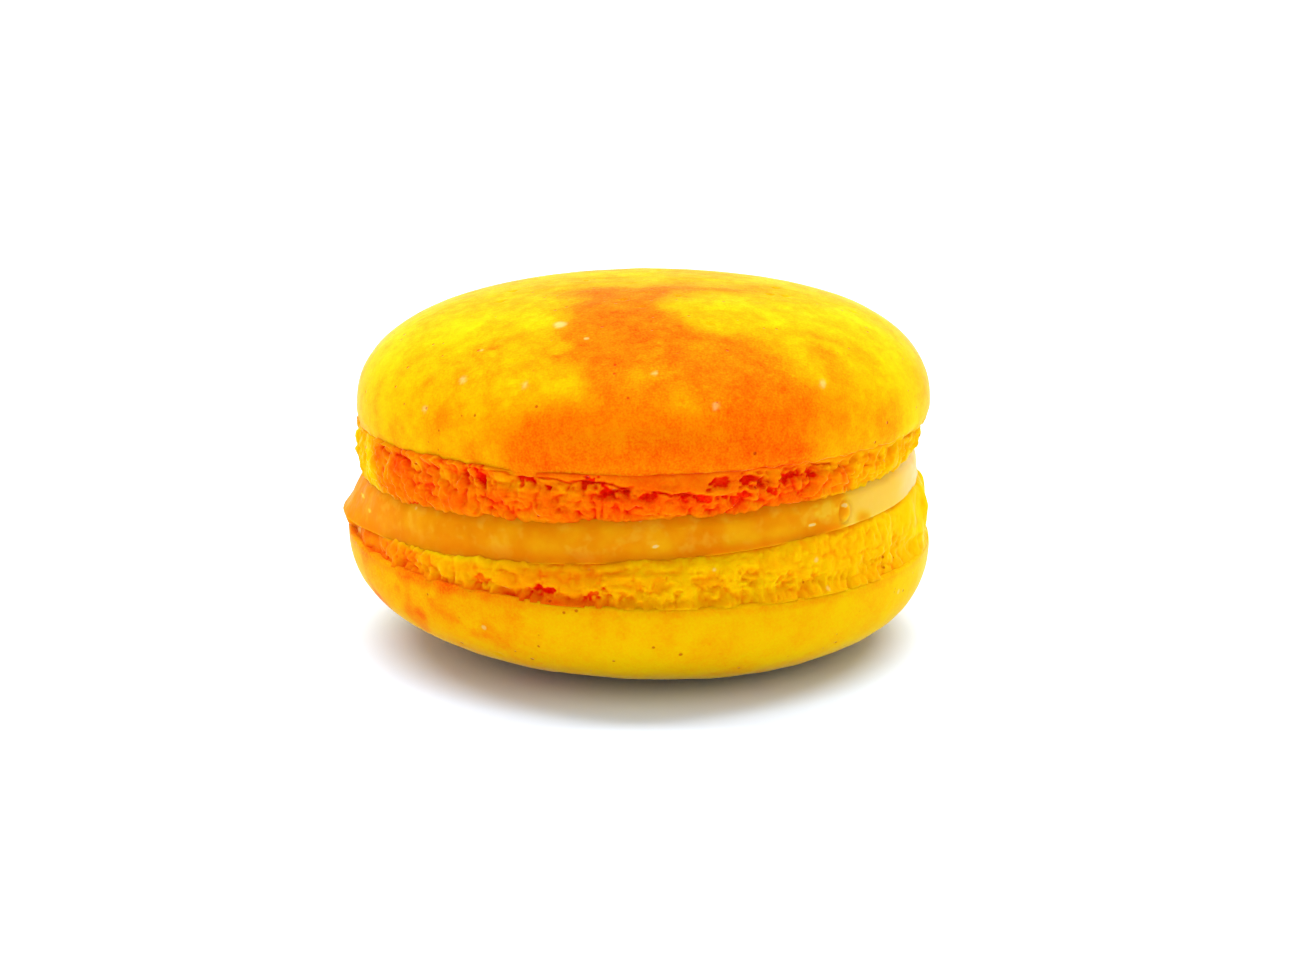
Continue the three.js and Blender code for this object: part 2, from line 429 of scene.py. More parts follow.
def grid_faces(columns, rows):
    """Corner numbers and sizes of a grid's faces, and of the two fans that close its ends."""
    column, row = np.meshgrid(np.arange(columns), np.arange(rows - 1), indexing="ij")
    following = (column + 1) % columns
    quads = np.stack(
        [
            column * rows + row,
            following * rows + row,
            following * rows + row + 1,
            column * rows + row + 1,
        ],
        -1,
    ).reshape(-1, 4)
    ring = np.arange(columns)
    after = (ring + 1) % columns
    low = np.stack([after * rows, ring * rows, np.full(columns, columns * rows)], 1)
    high = np.stack([ring * rows, after * rows, np.full(columns, columns * rows)], 1)
    high[:, :2] += rows - 1
    high[:, 2] += 1
    corners = np.concatenate([quads.ravel(), low.ravel(), high.ravel()]).astype(np.int32)
    sizes = np.concatenate([np.full(len(quads), 4), np.full(2 * columns, 3)])
    return corners, sizes


def closed_mesh(name, points, low_end, high_end, attributes):
    """A closed body from a grid of points and the two points where the axis leaves it."""
    vertices = np.concatenate([points.reshape(-1, 3), [low_end, high_end]]) * MM
    corners, sizes = grid_faces(*points.shape[:2])
    mesh = bpy.data.meshes.new(name)
    mesh.vertices.add(len(vertices))
    mesh.vertices.foreach_set("co", vertices.ravel())
    mesh.loops.add(len(corners))
    mesh.loops.foreach_set("vertex_index", corners)
    mesh.polygons.add(len(sizes))
    starts = np.concatenate([[0], np.cumsum(sizes)[:-1]]).astype(np.int32)
    mesh.polygons.foreach_set("loop_start", starts)
    mesh.polygons.foreach_set("use_smooth", np.ones(len(sizes), bool))
    for label, values in attributes.items():
        layer = mesh.attributes.new(label, "FLOAT", "POINT")
        ends = [values[:, 0].mean(), values[:, -1].mean()]
        layer.data.foreach_set("value", np.concatenate([values.ravel(), ends]))
    mesh.update()
    mesh.validate()
    piece = bpy.data.objects.new(name, mesh)
    bpy.context.scene.collection.objects.link(piece)
    return piece


def round_grid(columns, radii, lifts, plane, shift=(0.0, 0.0)):
    """Angle of each column, and a grid of points from a radius and a height over a tipped plane."""
    theta = (2 * math.pi * np.arange(columns) / columns)[:, None]
    shift_x, shift_y = np.broadcast_arrays(*shift, radii)[:2]
    x = shift_x + radii * np.cos(theta)
    y = shift_y + radii * np.sin(theta)
    return theta, np.stack([x, y, plane_height(plane, x, y) + lifts], -1)


# Caps


def dome_line(radius, rise, power):
    """Radius and height of a flattened dome from its widest ring to the flat middle."""
    turn = np.linspace(0, math.pi / 2, DOME_STEPS)
    reach = np.clip(np.cos(turn), 0, 1) ** (2 / power)
    height = rise * np.sin(turn) ** (2 / power)
    return radius * reach, height


def edge_line(radius, width):
    """The crisp rounded edge of a cap, from its ledge outward and up."""
    turn = np.linspace(-math.pi / 2, 0, 6)
    ledge = [(radius - LEDGE_REACH, 0.0), (radius - width - LEDGE_FLAT, 0.0)]
    middle = radius - width
    return ledge + [(middle + width * math.cos(t), width + width * math.sin(t)) for t in turn]


def cap_relief(points, seed):
    """Slight unevenness of a baked shell, and the shallow dimples in it."""
    relief = 0.07 * soft_noise(points, 7.5, seed)
    relief += 0.03 * soft_noise(points, 2.8, seed + 1)
    relief += 0.012 * soft_noise(points, 1.0, seed + 2)
    near, number = cells(points, 2.2, seed + 3)
    dimple = smooth(0.2, 0.06, near) * (number > 0.35)
    return relief - 0.09 * dimple


def outside_distance(flat, outline):
    """Distance from a closed outline in a plane, below zero inside it."""
    nearest = np.full(flat.shape[:-1], np.inf)
    inside = np.zeros(flat.shape[:-1], bool)
    for start, end in zip(outline, outline[1:] + outline[:1]):
        line = np.array(end) - start
        share = np.clip((flat - start) @ line / (line @ line), 0, 1)
        gap = np.linalg.norm(flat - start - share[..., None] * line, axis=-1)
        nearest = np.minimum(nearest, gap)
        if abs(line[1]) > 1e-9:
            spans = (flat[..., 1] < start[1]) != (flat[..., 1] < end[1])
            crossing = start[0] + (flat[..., 1] - start[1]) / line[1] * line[0]
            inside ^= spans & (flat[..., 0] < crossing)
    return np.where(inside, -nearest, nearest)


def cap_colors(theta, skin, points):
    """How orange and how pale the upper cap is: a ragged stain, patches, mottling and a few flecks, with
    painted shade and a painted rim glow.
    """
    exact = skin[..., None] * np.stack([np.cos(theta), np.sin(theta)], -1)
    warp = np.stack([soft_noise(points, 2.6, 21), soft_noise(points, 2.6, 22)], -1)
    fine = np.stack([soft_noise(points, 1.0, 23), soft_noise(points, 1.0, 24)], -1)
    flat = exact + 0.7 * warp + 0.4 * fine
    grain = soft_noise(points, 0.6, 25)
    outside = outside_distance(flat, STAIN_OUTLINE)
    cloud = soft_noise(points, 2.6, 26) + 0.7 * soft_noise(points, 1.3, 27)
    stained = smooth(1.0, -1.9, outside + 0.9 * cloud + 0.5 * grain)
    halo = smooth(6.0, 0.0, outside)
    forward = smooth(8.0, 26.0, skin)
    behind = smooth(-12.0, 0.0, flat[..., 1])
    # Painted shade: the stain is deeper on top than in front, and the gold deeper toward the back
    orange = between(0.74, 0.67, forward) + 0.05 * cloud + 0.03 * grain
    gold = 0.33 + 0.09 * behind + 0.06 * halo + 0.09 * cloud + 0.08 * grain
    # Painted glow: the rims at the left and right are yellower
    gold = gold - 0.13 * smooth(0.76, 0.98, abs(np.cos(theta))) * forward
    tone = between(gold, orange, stained)
    for across, along, wide, deep, added in CAP_PATCHES:
        away = np.hypot((flat[..., 0] - across) / wide, (flat[..., 1] - along) / deep)
        tone = tone + added * smooth(1.5, 0.1, away)
    belt = smooth(9.0, 3.0, np.hypot(flat[..., 0] + 9.5, 1.6 * (flat[..., 1] + 17.5)))
    freckles = soft_noise(points, 0.8, 28) + 0.6 * soft_noise(points, 0.4, 29)
    tone = tone - 0.1 * belt * smooth(0.1, 0.6, freckles)
    tone = tone + 0.12 * smooth(0.4, 0.0, abs(skin - CAP_SKIN))
    pale = np.zeros(tone.shape)
    for across, along, wide in PALE_FLECKS:
        away = np.hypot(exact[..., 0] - across, 0.7 * (exact[..., 1] - along))
        pale = np.maximum(pale, smooth(wide, 0.4 * wide, away + 0.25 * wide * grain))
    return np.clip(tone, 0, 1), pale


def warped(points, cell, reach, seed):
    """The points moved about by noise, which makes an even outline ragged."""
    moves = [soft_noise(points, cell, seed + axis) for axis in range(3)]
    return points + reach * np.stack(moves, -1)


def seam_hidden(theta):
    """How far the cap's skin runs on into the foot without a seam: 1 in the middle of that stretch."""
    return around(theta, EDGE_DROOP["angle"], EDGE_DROOP["spread"])


def upper_cap():
    """The smooth upper cap: a dome on a crisp rounded edge, with the stain and the flecks."""
    ledge = edge_line(CAP_EDGE_RADIUS, EDGE_ROUND)
    turn = np.linspace(0.1, 1, 8)
    side = [
        (
            between(CAP_EDGE_RADIUS, CAP_RADIUS, math.sin(math.pi / 2 * t)),
            between(EDGE_ROUND, CAP_TUCK, t),
        )
        for t in turn
    ]
    reach, height = dome_line(CAP_RADIUS, CAP_RISE, CAP_POWER)
    dome = np.stack([reach, CAP_TUCK + height], 1)[1:-1]
    outside = spaced_profile(ledge[2:] + side + dome.tolist(), CAP_ROWS)
    line = np.concatenate([ledge[:2], outside])
    steps = np.linalg.norm(np.diff(line, axis=0), axis=1)
    skin = line[-1, 0] + np.concatenate([np.cumsum(steps[::-1])[::-1], [0]])[None, :]
    theta, points = round_grid(CAP_COLUMNS, line[:, 0], line[:, 1], CAP_EDGE, (CAP_SHIFT_X, 0.0))
    relief = cap_relief(points, 11) * smooth(0.0, 0.5, line[:, 1])
    moved = points + grid_normals(points) * relief[..., None]
    wave = 0.07 * soft_noise(points * (1, 1, 0), 2.4, 17) * smooth(1.6, 0.2, line[:, 1])
    ragged = 0.03 + 0.1 * smooth(10, 18, abs(turn_from(theta, 272)))
    wave += ragged * soft_noise(points * (1, 1, 0), 0.6, 18) * smooth(1.0, 0.1, line[:, 1])
    wave -= EDGE_DROOP["reach"] * seam_hidden(theta) * smooth(1.4, 0.0, line[:, 1])
    moved[..., 2] += wave
    stain, pale = cap_colors(theta, skin, points)
    crown = np.array([[CAP_SHIFT_X, 0, CAP_EDGE[0] + CAP_TUCK + CAP_RISE]])
    low_end = (CAP_SHIFT_X, 0, CAP_EDGE[0])
    high_end = (CAP_SHIFT_X, 0, crown[0, 2] + cap_relief(crown, 11)[0])
    return closed_mesh("upper_cap", moved, low_end, high_end, {"stain": stain, "pale": pale})


def lower_cap():
    """The smooth lower cap: a dome turned down, flat where the macaron rests."""
    reach, height = dome_line(1.0, 1.0, BASE_POWER)
    radii = between(REST_RADIUS, BASE_RADIUS, reach)[::-1]
    lifts = -BASE_DEPTH * height[::-1]
    ledge = np.array(edge_line(BASE_RADIUS, BASE_EDGE_ROUND))[::-1]
    outside = spaced_profile(np.stack([radii, lifts], 1)[:-1], BASE_ROWS)
    edge = np.stack([ledge[:, 0], BASE_EDGE_ROUND - ledge[:, 1]], 1)
    flat_spot = np.array([[REST_RADIUS * 0.5, BELOW_FLOOR], [REST_RADIUS * 0.97, BELOW_FLOOR]])
    line = np.concatenate([flat_spot, outside, edge])
    closeness = np.clip((BASE_RADIUS - line[:, 0]) / (BASE_RADIUS - REST_RADIUS), 0, 1)
    shift = (REST_SHIFT[0] * closeness, REST_SHIFT[1] * closeness)
    theta, points = round_grid(CAP_COLUMNS, line[:, 0], line[:, 1], BASE_EDGE, shift)
    points[..., 2] = np.maximum(points[..., 2], 0)
    height = points[..., 2]
    relief = cap_relief(points, 41) + 0.05 * soft_noise(points, 1.3, 47) * smooth(4.0, 1.0, height)
    visible = smooth(0.0, 0.6, height) * smooth(0.1, -0.5, line[:, 1])
    moved = points + grid_normals(points) * (relief * visible)[..., None]
    moved[..., 2] = np.maximum(moved[..., 2], 0)
    wave = 0.06 * soft_noise(points * (1, 1, 0), 2.6, 48) * smooth(-1.5, -0.1, line[:, 1])
    moved[..., 2] += wave
    stain = base_stain(theta, points, line[:, 1])
    low_end = (REST_SHIFT[0], REST_SHIFT[1], 0)
    return closed_mesh("lower_cap", moved, low_end, (0, 0, BASE_EDGE[0]), {"stain": stain})


def base_stain(theta, points, lift):
    """How orange the lower cap is: more at the left and at its edge, with blotches, some of them painted
    shade and bounce light.
    """
    blotch = smooth(-0.2, 0.7, soft_noise(points, 2.4, 51) + 0.5 * soft_noise(points, 1.0, 52))
    left = around(theta, 218, 30)
    height = points[..., 2]
    high = smooth(1.0, 7.5, height)
    stain = 0.06 + left * (0.12 + 0.12 * high) + (0.11 + 0.18 * left) * blotch
    stain += 0.16 * smooth(-0.7, -0.1, lift)
    stain += 0.08 * around(theta, 247, 16)
    stain += 0.1 * around(theta, 198, 16) * smooth(-3.4, -0.6, lift)
    for angle, centre, wide in BASE_BLOTCHES_AND_BOUNCE:
        away = np.hypot(along_rim(theta, angle), height - centre) + 0.3 * soft_noise(points, 0.5, 53)
        stain += 0.2 * smooth(wide, 0.3 * wide, away)
    return np.clip(stain, 0, 1)


# Feet


def hidden_tears(seed, height):
    """Tears for the sides that the photo doesn't show, like those in front."""
    random = np.random.default_rng(seed)
    tears = []
    for number in range(HIDDEN_TEARS):
        angle = between(*HIDDEN_ARC, (number + random.random()) / HIDDEN_TEARS)
        along = 0.6 + 0.42 * height * random.random()
        wide = random.uniform(1.0, 2.6)
        high = random.uniform(0.8, 1.3)
        deep = random.uniform(0.35, 0.9)
        tears.append((angle, along, wide, high, deep))
    return tears


def tear_shapes(theta, along, points, tears, seed):
    """Depth of the ragged tears at each point, and how far the point is inside one's core, where painted
    shade goes.
    """
    across = 0.5 * soft_noise(points, 0.9, seed) + 0.45 * soft_noise(points, 0.4, seed + 1)
    across += 0.3 * soft_noise(points, 0.2, seed + 4)
    upright = 0.35 * soft_noise(points, 0.8, seed + 2) + 0.3 * soft_noise(points, 0.36, seed + 3)
    depth = np.zeros(points.shape[:-1])
    core = depth.copy()
    for angle, centre, width, height, deep in tears:
        sideways = (along_rim(theta, angle) + across) / (width / 2)
        distance = np.hypot(sideways, (along - centre + upright) / (height / 2))
        hollow = 0.45 * smooth(1.25, 0.8, distance) + 0.55 * smooth(0.85, 0.5, distance)
        depth = np.maximum(depth, 0.55 * deep * hollow)
        core = np.maximum(core, smooth(0.4, 0.9, deep / 0.6) * smooth(0.9, 0.6, distance))
    return depth, core


def torn_line(theta, heights, points, seed):
    """Distance from the cap's edge to a ragged line through heights given at some angles."""
    ordered = sorted((angle % 360, height) for angle, height in heights)
    line = np.interp(np.degrees(theta) % 360, *zip(*ordered), period=360)
    return line + 0.25 * soft_noise(points, 1.2, seed) + 0.14 * soft_noise(points, 0.45, seed + 1)


def crumb(points, seed):
    """Puffed crumb: soft mounds of three sizes with creases between them, and grain."""
    moved = warped(points, 1.1, 0.3, seed + 5)
    bent = soft_noise(moved, 1.6, seed) + 0.4 * soft_noise(points, 0.55, seed + 4)
    large = np.sqrt(bent**2 + 0.01) - 0.1
    small = np.sqrt(soft_noise(moved, 0.75, seed + 1) ** 2 + 0.01) - 0.1
    tiny = abs(soft_noise(points, 0.4, seed + 2))
    mounds = 0.62 * large + 0.4 * small + 0.2 * tiny + 0.04 * soft_noise(points, 0.22, seed + 3)
    crease = smooth(0.06, 0.0, large) * 0.6 + smooth(0.06, 0.0, small) * 0.4
    return np.minimum(mounds, 0.62) - 0.24, crease


def bubble_pits(points, cell, seed, share):
    """Small burst bubbles, in a share of the cells."""
    near, number = cells(points, cell, seed)
    return smooth(0.26, 0.1, near) * (number > 1 - 2 * share)


def foot_grid(radii, edge, cream):
    """Angles, shares of the way from the cap to the cream, distances from the cap, and the grid."""
    share = np.linspace(0, 1, FOOT_ROWS)
    plain = curve(radii, share)
    theta = (2 * math.pi * np.arange(FOOT_COLUMNS) / FOOT_COLUMNS)[:, None]
    x = plain * np.cos(theta)
    y = plain * np.sin(theta)
    start = plane_height(edge, x, y)
    end = plane_height(cream, x, y)
    points = np.stack([x, y, between(start, end, share)], -1)
    return theta, share, abs(end - start) * share, points


def pulled_in(ring, radius, lift):
    """A ring of points drawn in to a radius and lifted."""
    moved = ring.copy()
    scale = radius / np.linalg.norm(ring[:, :2], axis=1, keepdims=True)
    moved[:, :2] *= scale
    moved[:, 2] += lift
    return moved


def with_hidden_rows(side, start_turns, end_turns):
    """Adds the rows that turn in at both ends of a side, where other pieces hide them."""
    first = [pulled_in(side[:, 0], radius, lift) for radius, lift in start_turns]
    last = [pulled_in(side[:, -1], radius, lift) for radius, lift in end_turns]
    return np.concatenate([np.stack(first, 1), side, np.stack(last, 1)], axis=1)


def padded_rows(values):
    """Repeats the first and the last row's values for the hidden rows."""
    first = [values[:, :1]] * HIDDEN_ROWS
    last = [values[:, -1:]] * HIDDEN_ROWS
    return np.concatenate(first + [values] + last, axis=1)


def foot_ends(theta):
    """1 at the left and right ends of a foot, where its crumb is smoother, and 0 in front and behind."""
    return smooth(0.72, 0.96, abs(np.cos(theta)))


def upper_foot_stain(theta, points):
    """How orange the upper foot is: full in front, fading to both sides with ragged ends."""
    turn = abs(turn_from(theta, 259)) + 7 * soft_noise(points, 2.0, 81)
    return smooth(64, 40, turn)


def upper_foot_tint(theta, share, along, points, lumps, crease, torn):
    """Colour of the upper foot's crumb, before its lip and its tears; it has painted shade in the
    crumb's creases and hollows and in the tears.
    """
    stain = upper_foot_stain(theta, points)
    right = around(theta, 348, 25)
    deepest = around(theta, 272, 9)
    red = smooth(0.3, 0.5, share) * smooth(0.95, 0.6, share) * (0.04 * stain + 0.14 * deepest)
    tint = 0.24 - 0.1 * right + 0.4 * stain + red + 0.1 * soft_noise(points, 0.9, 82)
    # Painted shade: deeper orange in creases, tears and hollows
    tint += 0.08 * crease + 0.3 * torn * stain + (0.1 + 0.08 * stain) * smooth(0.0, -0.22, lumps)
    for angle, centre, wide, high, added in FOOT_PATCHES:
        sideways = (along_rim(theta, angle) + 0.4 * soft_noise(points, 0.8, 83)) / wide
        away = np.hypot(sideways, (along - centre + 0.3 * soft_noise(points, 0.7, 84)) / high)
        tint += added * smooth(1.4, 0.3, away)
    return tint


def upper_foot():
    """The ruffled foot under the upper cap, with its smooth lip, tears and burst bubbles."""
    theta, share, along, points = foot_grid(UPPER_FOOT_RADII, CAP_EDGE, CREAM_TOP)
    tears = UPPER_TEARS + hidden_tears(5, 3.7)
    line = torn_line(theta, UPPER_LIP, points, 61)
    above = smooth(0.12, -0.12, along - line) * smooth(0.02, 0.15, line)
    lumps, crease = crumb(points, 63)
    torn, core = tear_shapes(theta, along, points, tears, 66)
    rim = smooth(1.0, 0.78, share)
    ends = foot_ends(theta)
    gaps = smooth(-0.1, 0.4, soft_noise(points, 1.6, 70))
    # At the left of the front the crumb comes out as far as the cap's edge, without a crack
    flush = around(theta, 231, 19)
    crack = smooth(0.13, 0.03, abs(along - line)) * gaps * (1 - flush)
    pits = bubble_pits(points, 0.75, 72, 0.3) * (1 - above)
    rough = (1 - 0.8 * above) * between(0.4, 1.0, rim) * (1 - 0.4 * ends)
    lip_out = (0.24 + 0.16 * smooth(0.25, 0.0, share)) * (1 - 0.8 * seam_hidden(theta))
    relief = lumps * rough + lip_out * above - 0.13 * pits
    relief -= torn * smooth(0.0, 0.06, share) + 0.3 * crack * rim
    relief += 0.64 * flush * smooth(0.3, 0.0, share)
    relief += 0.12 * soft_noise(points, 3.5, 73) - 0.3 * around(theta, 348, 25) * share
    relief += 0.2 * ends * soft_noise(points, 1.7, 74)
    side = points + grid_normals(points[:, ::-1])[:, ::-1] * relief[..., None]
    side[..., 2] += 0.22 * soft_noise(points * (1, 1, 0), 2.2, 75) * smooth(0.6, 1.0, share)
    # Painted shade in the tears' cores, along the crack and in the pits
    hollow_shade = np.clip(core + 0.8 * crack + 0.4 * pits, 0, 1)
    hollow_shade = hollow_shade * between(0.14, 0.34, upper_foot_stain(theta, points))
    lip, _ = cap_colors(theta, CAP_SKIN + along, points)
    tint = upper_foot_tint(theta, share, along, points, lumps, crease, torn)
    tint = between(tint, lip + 0.03, above) + hollow_shade
    grid = with_hidden_rows(side, *UPPER_FOOT_TURNS)
    tint = padded_rows(np.clip(tint, 0, 1))
    low_end = (0, 0, CREAM_TOP[0])
    high_end = (0, 0, CAP_EDGE[0] + FOOT_INTO_CAP)
    return closed_mesh("upper_foot", grid[:, ::-1], low_end, high_end, {"stain": tint[:, ::-1]})


def lower_foot_tint(theta, share, points, lumps, crease, torn, hollow_shade):
    """Colour of the lower foot: orange at the left and in a part of the front, else yellow, with painted
    shade in its creases, tears and hollows, along its base and under the cream.
    """
    left = around(theta, 209, 41)
    front = around(theta, 254, 14)
    low_left = left * (1 - 0.5 * smooth(0.66, 0.9, share))
    tint = 0.06 + 0.6 * low_left + 0.18 * front + 0.09 * soft_noise(points, 1.2, 105)
    # Painted shade: deeper orange in creases, tears and hollows, along the base at the lower cap and
    # along the top under the cream
    tint += 0.05 * crease + 0.36 * torn + hollow_shade * (0.1 + 0.3 * left + 0.3 * front)
    tint += (0.16 + 0.2 * front) * smooth(0.34, 0.05, share)
    tint += between(0.26, 0.16, left) * smooth(0.82, 1.0, share)
    tint += 0.14 * smooth(0.0, -0.22, lumps)
    tint -= 0.28 * around(theta, 232, 13) * smooth(0.0, 0.3, share)
    tint += 0.08 * around(theta, 262, 12)
    tint += 0.1 * around(theta, 308, 16)
    return np.clip(tint, 0, 1)


def lower_foot_specks_and_highlight(theta, along, points):
    """How pale the lower foot is: a few small specks, and a painted highlight at the left."""
    pale = np.zeros(along.shape)
    for angle, centre, wide in FOOT_SPECKS_AND_HIGHLIGHT:
        away = np.hypot(along_rim(theta, angle), along - centre)
        away += 0.3 * wide * soft_noise(points, 0.3, 106)
        pale = np.maximum(pale, smooth(wide, 0.4 * wide, away))
    return pale


def lower_foot():
    """The ruffled foot on the lower cap, smoother at its ends, with a small lump at the left."""
    theta, share, along, points = foot_grid(LOWER_FOOT_RADII, BASE_EDGE, CREAM_BOTTOM)
    tears = LOWER_TEARS + hidden_tears(9, 3.4)
    line = torn_line(theta, [tear[:2] for tear in tears], points, 91)
    below = smooth(0.2, -0.2, along - line)
    lumps, crease = crumb(points, 93)
    torn, core = tear_shapes(theta, along, points, tears, 96)
    rim = smooth(1.0, 0.8, share)
    pits = bubble_pits(points, 0.8, 99, 0.25) * below
    ends = foot_ends(theta)
    rough = between(0.45, 0.8, below) * between(0.4, 1.0, rim) * (1 - 0.75 * ends)
    relief = lumps * rough - 0.12 * below * smooth(0.0, 0.15, share) - 0.12 * pits
    relief += 0.4 * smooth(0.26, 0.0, share)
    relief -= torn * smooth(0.0, 0.05, share)
    relief += 0.12 * soft_noise(points, 3.2, 101) - 0.08 * smooth(0.9, 1.0, share)
    relief += ends * rim * (0.3 * soft_noise(points, 2.2, 102) + 0.1 * soft_noise(points, 1.1, 107))
    sideways = along_rim(theta, FOOT_LUMP["angle"]) / (FOOT_LUMP["width"] / 2)
    upright = (along - FOOT_LUMP["along"]) / (FOOT_LUMP["height"] / 2)
    relief += FOOT_LUMP["out"] * np.exp(-(sideways**2) - upright**2)
    radius = np.hypot(points[..., 0], points[..., 1])
    # Near the lower cap the foot stays inside the cap's edge
    relief = np.minimum(relief, BASE_RADIUS - 0.5 * BASE_EDGE_ROUND + 0.6 * along - radius)
    side = points + grid_normals(points) * relief[..., None]
    level = points * (1, 1, 0)
    ragged = 0.18 * soft_noise(level, 2.4, 103) + 0.1 * soft_noise(level, 0.7, 104)
    side[..., 2] += ragged * smooth(0.6, 1.0, share)
    # Painted shade in the tears' cores and in the pits
    hollow_shade = np.clip(core + 0.4 * pits, 0, 1)
    tint = lower_foot_tint(theta, share, points, lumps, crease, torn, hollow_shade)
    pale = lower_foot_specks_and_highlight(theta, along, points)
    grid = with_hidden_rows(side, *LOWER_FOOT_TURNS)
    attributes = {"stain": padded_rows(tint), "pale": padded_rows(pale)}
    low_end = (0, 0, BASE_EDGE[0] - FOOT_INTO_CAP)
    high_end = (0, 0, CREAM_BOTTOM[0])
    return closed_mesh("lower_foot", grid, low_end, high_end, attributes)


# Cream


def cream_tints(theta, share, points, ring):
    """How pale and how dark the cream is: painted highlights and a paler right end, painted shade, and a
    more orange left end.
    """
    turn = turn_from(theta, 352)
    # Painted light: the right end paler, with painted highlights and a few pale patches
    pale = np.exp(-((turn / 25) ** 2)) * np.ones(CREAM_ROWS)
    right = smooth(-41, -31, turn + 5 * soft_noise(points, 1.4, 116)) * smooth(20, -10, turn)
    pale = np.maximum(pale, 0.5 * right)
    for angle, height, length, depth, strength in CREAM_HIGHLIGHTS_AND_PATCHES:
        away = np.hypot(along_rim(theta, angle) / length, (share - height) / depth)
        away += 0.3 * soft_noise(points, 0.3, 115) + 0.2 * soft_noise(points, 1.0, 116)
        pale = np.maximum(pale, strength * smooth(1.0, 0.4, away))
    left = around(theta, 190, 22)
    deeper = around(theta, 226, 24)
    # Painted shade along the bottom, under the upper foot and round the bubble's dent; the left end is
    # more orange
    shade = np.maximum(smooth(0.3 + 0.28 * deeper, 0.04, share), 0.6 * left)
    shade = np.maximum(shade, np.maximum(0.6 * ring, 0.6 * smooth(0.78, 0.95, share)))
    return pale, shade


def cream():
    """The layer of cream, swelling out at the left, with a small bubble right of the middle."""
    share = np.linspace(0, 1, CREAM_ROWS)
    plain = curve(CREAM_RADII, share)
    theta = (2 * math.pi * np.arange(CREAM_COLUMNS) / CREAM_COLUMNS)[:, None]
    sideways = along_rim(theta, CREAM_BULGE["angle"]) / CREAM_BULGE["reach"]
    bulge = CREAM_BULGE["out"] * (1 - share) ** CREAM_BULGE["power"] * np.exp(-(sideways**2))
    radius = plain + bulge
    x = radius * np.cos(theta)
    y = radius * np.sin(theta)
    bottom = plane_height(CREAM_BOTTOM, x, y) - CREAM_OVERLAP
    top = plane_height(CREAM_TOP, x, y) + CREAM_OVERLAP
    points = np.stack([x, y, between(bottom, top, share)], -1)
    relief = 0.12 * soft_noise(points * (1, 1, 0.6), 5.0, 111)
    relief += 0.07 * soft_noise(points * (1, 1, 1.5), 1.6, 112)
    relief += 0.015 * soft_noise(points, 0.6, 113)
    sideways = along_rim(theta, CREAM_BLISTER["angle"]) / CREAM_BLISTER["reach"]
    blister = np.hypot(sideways, (share - CREAM_BLISTER["share"]) / CREAM_BLISTER["depth"])
    ring = smooth(0.3, 0.0, abs(blister - 1.1))
    relief += 0.3 * smooth(1.0, 0.2, blister) - 0.14 * ring
    side = points + grid_normals(points) * relief[..., None]
    pale, shade = cream_tints(theta, share, points, ring)
    grid = with_hidden_rows(side, *CREAM_TURNS)
    attributes = {"pale": padded_rows(pale), "shade": padded_rows(shade)}
    low_end = (0, 0, CREAM_BOTTOM[0] - CREAM_OVERLAP)
    high_end = (0, 0, CREAM_TOP[0] + CREAM_OVERLAP)
    return closed_mesh("cream", grid, low_end, high_end, attributes)


# Materials


PORE_COLOR = (0.45, 0.02, 0.002, 1)
FLECK_COLOR = (0.8, 0.56, 0.2, 1)
# Cream colours: the shade colour is painted shade, and the two palest carry painted highlights
CREAM_COLORS = {
    "dark": (0.71, 0.2, 0.0, 1),
    "light": (0.76, 0.32, 0.002, 1),
    "curd": (0.78, 0.4, 0.02, 1),
    "shade": (0.74, 0.145, 0.0, 1),
    "pale_and_highlight": (0.76, 0.41, 0.01, 1),
    "palest_and_highlight": (0.75, 0.47, 0.15, 1),
    "speck": (0.75, 0.5, 0.12, 1),
}
# A shell's colour from no stain to the deepest stain
SHELL_COLORS = [
    (0.0, (0.86, 0.5, 0.0)),
    (0.15, (0.86, 0.43, 0.0)),
    (0.35, (0.86, 0.32, 0.0)),
    (0.6, (0.86, 0.18, 0.0)),
    (0.8, (0.84, 0.085, 0.0)),
    (1.0, (0.8, 0.004, 0.0)),
]


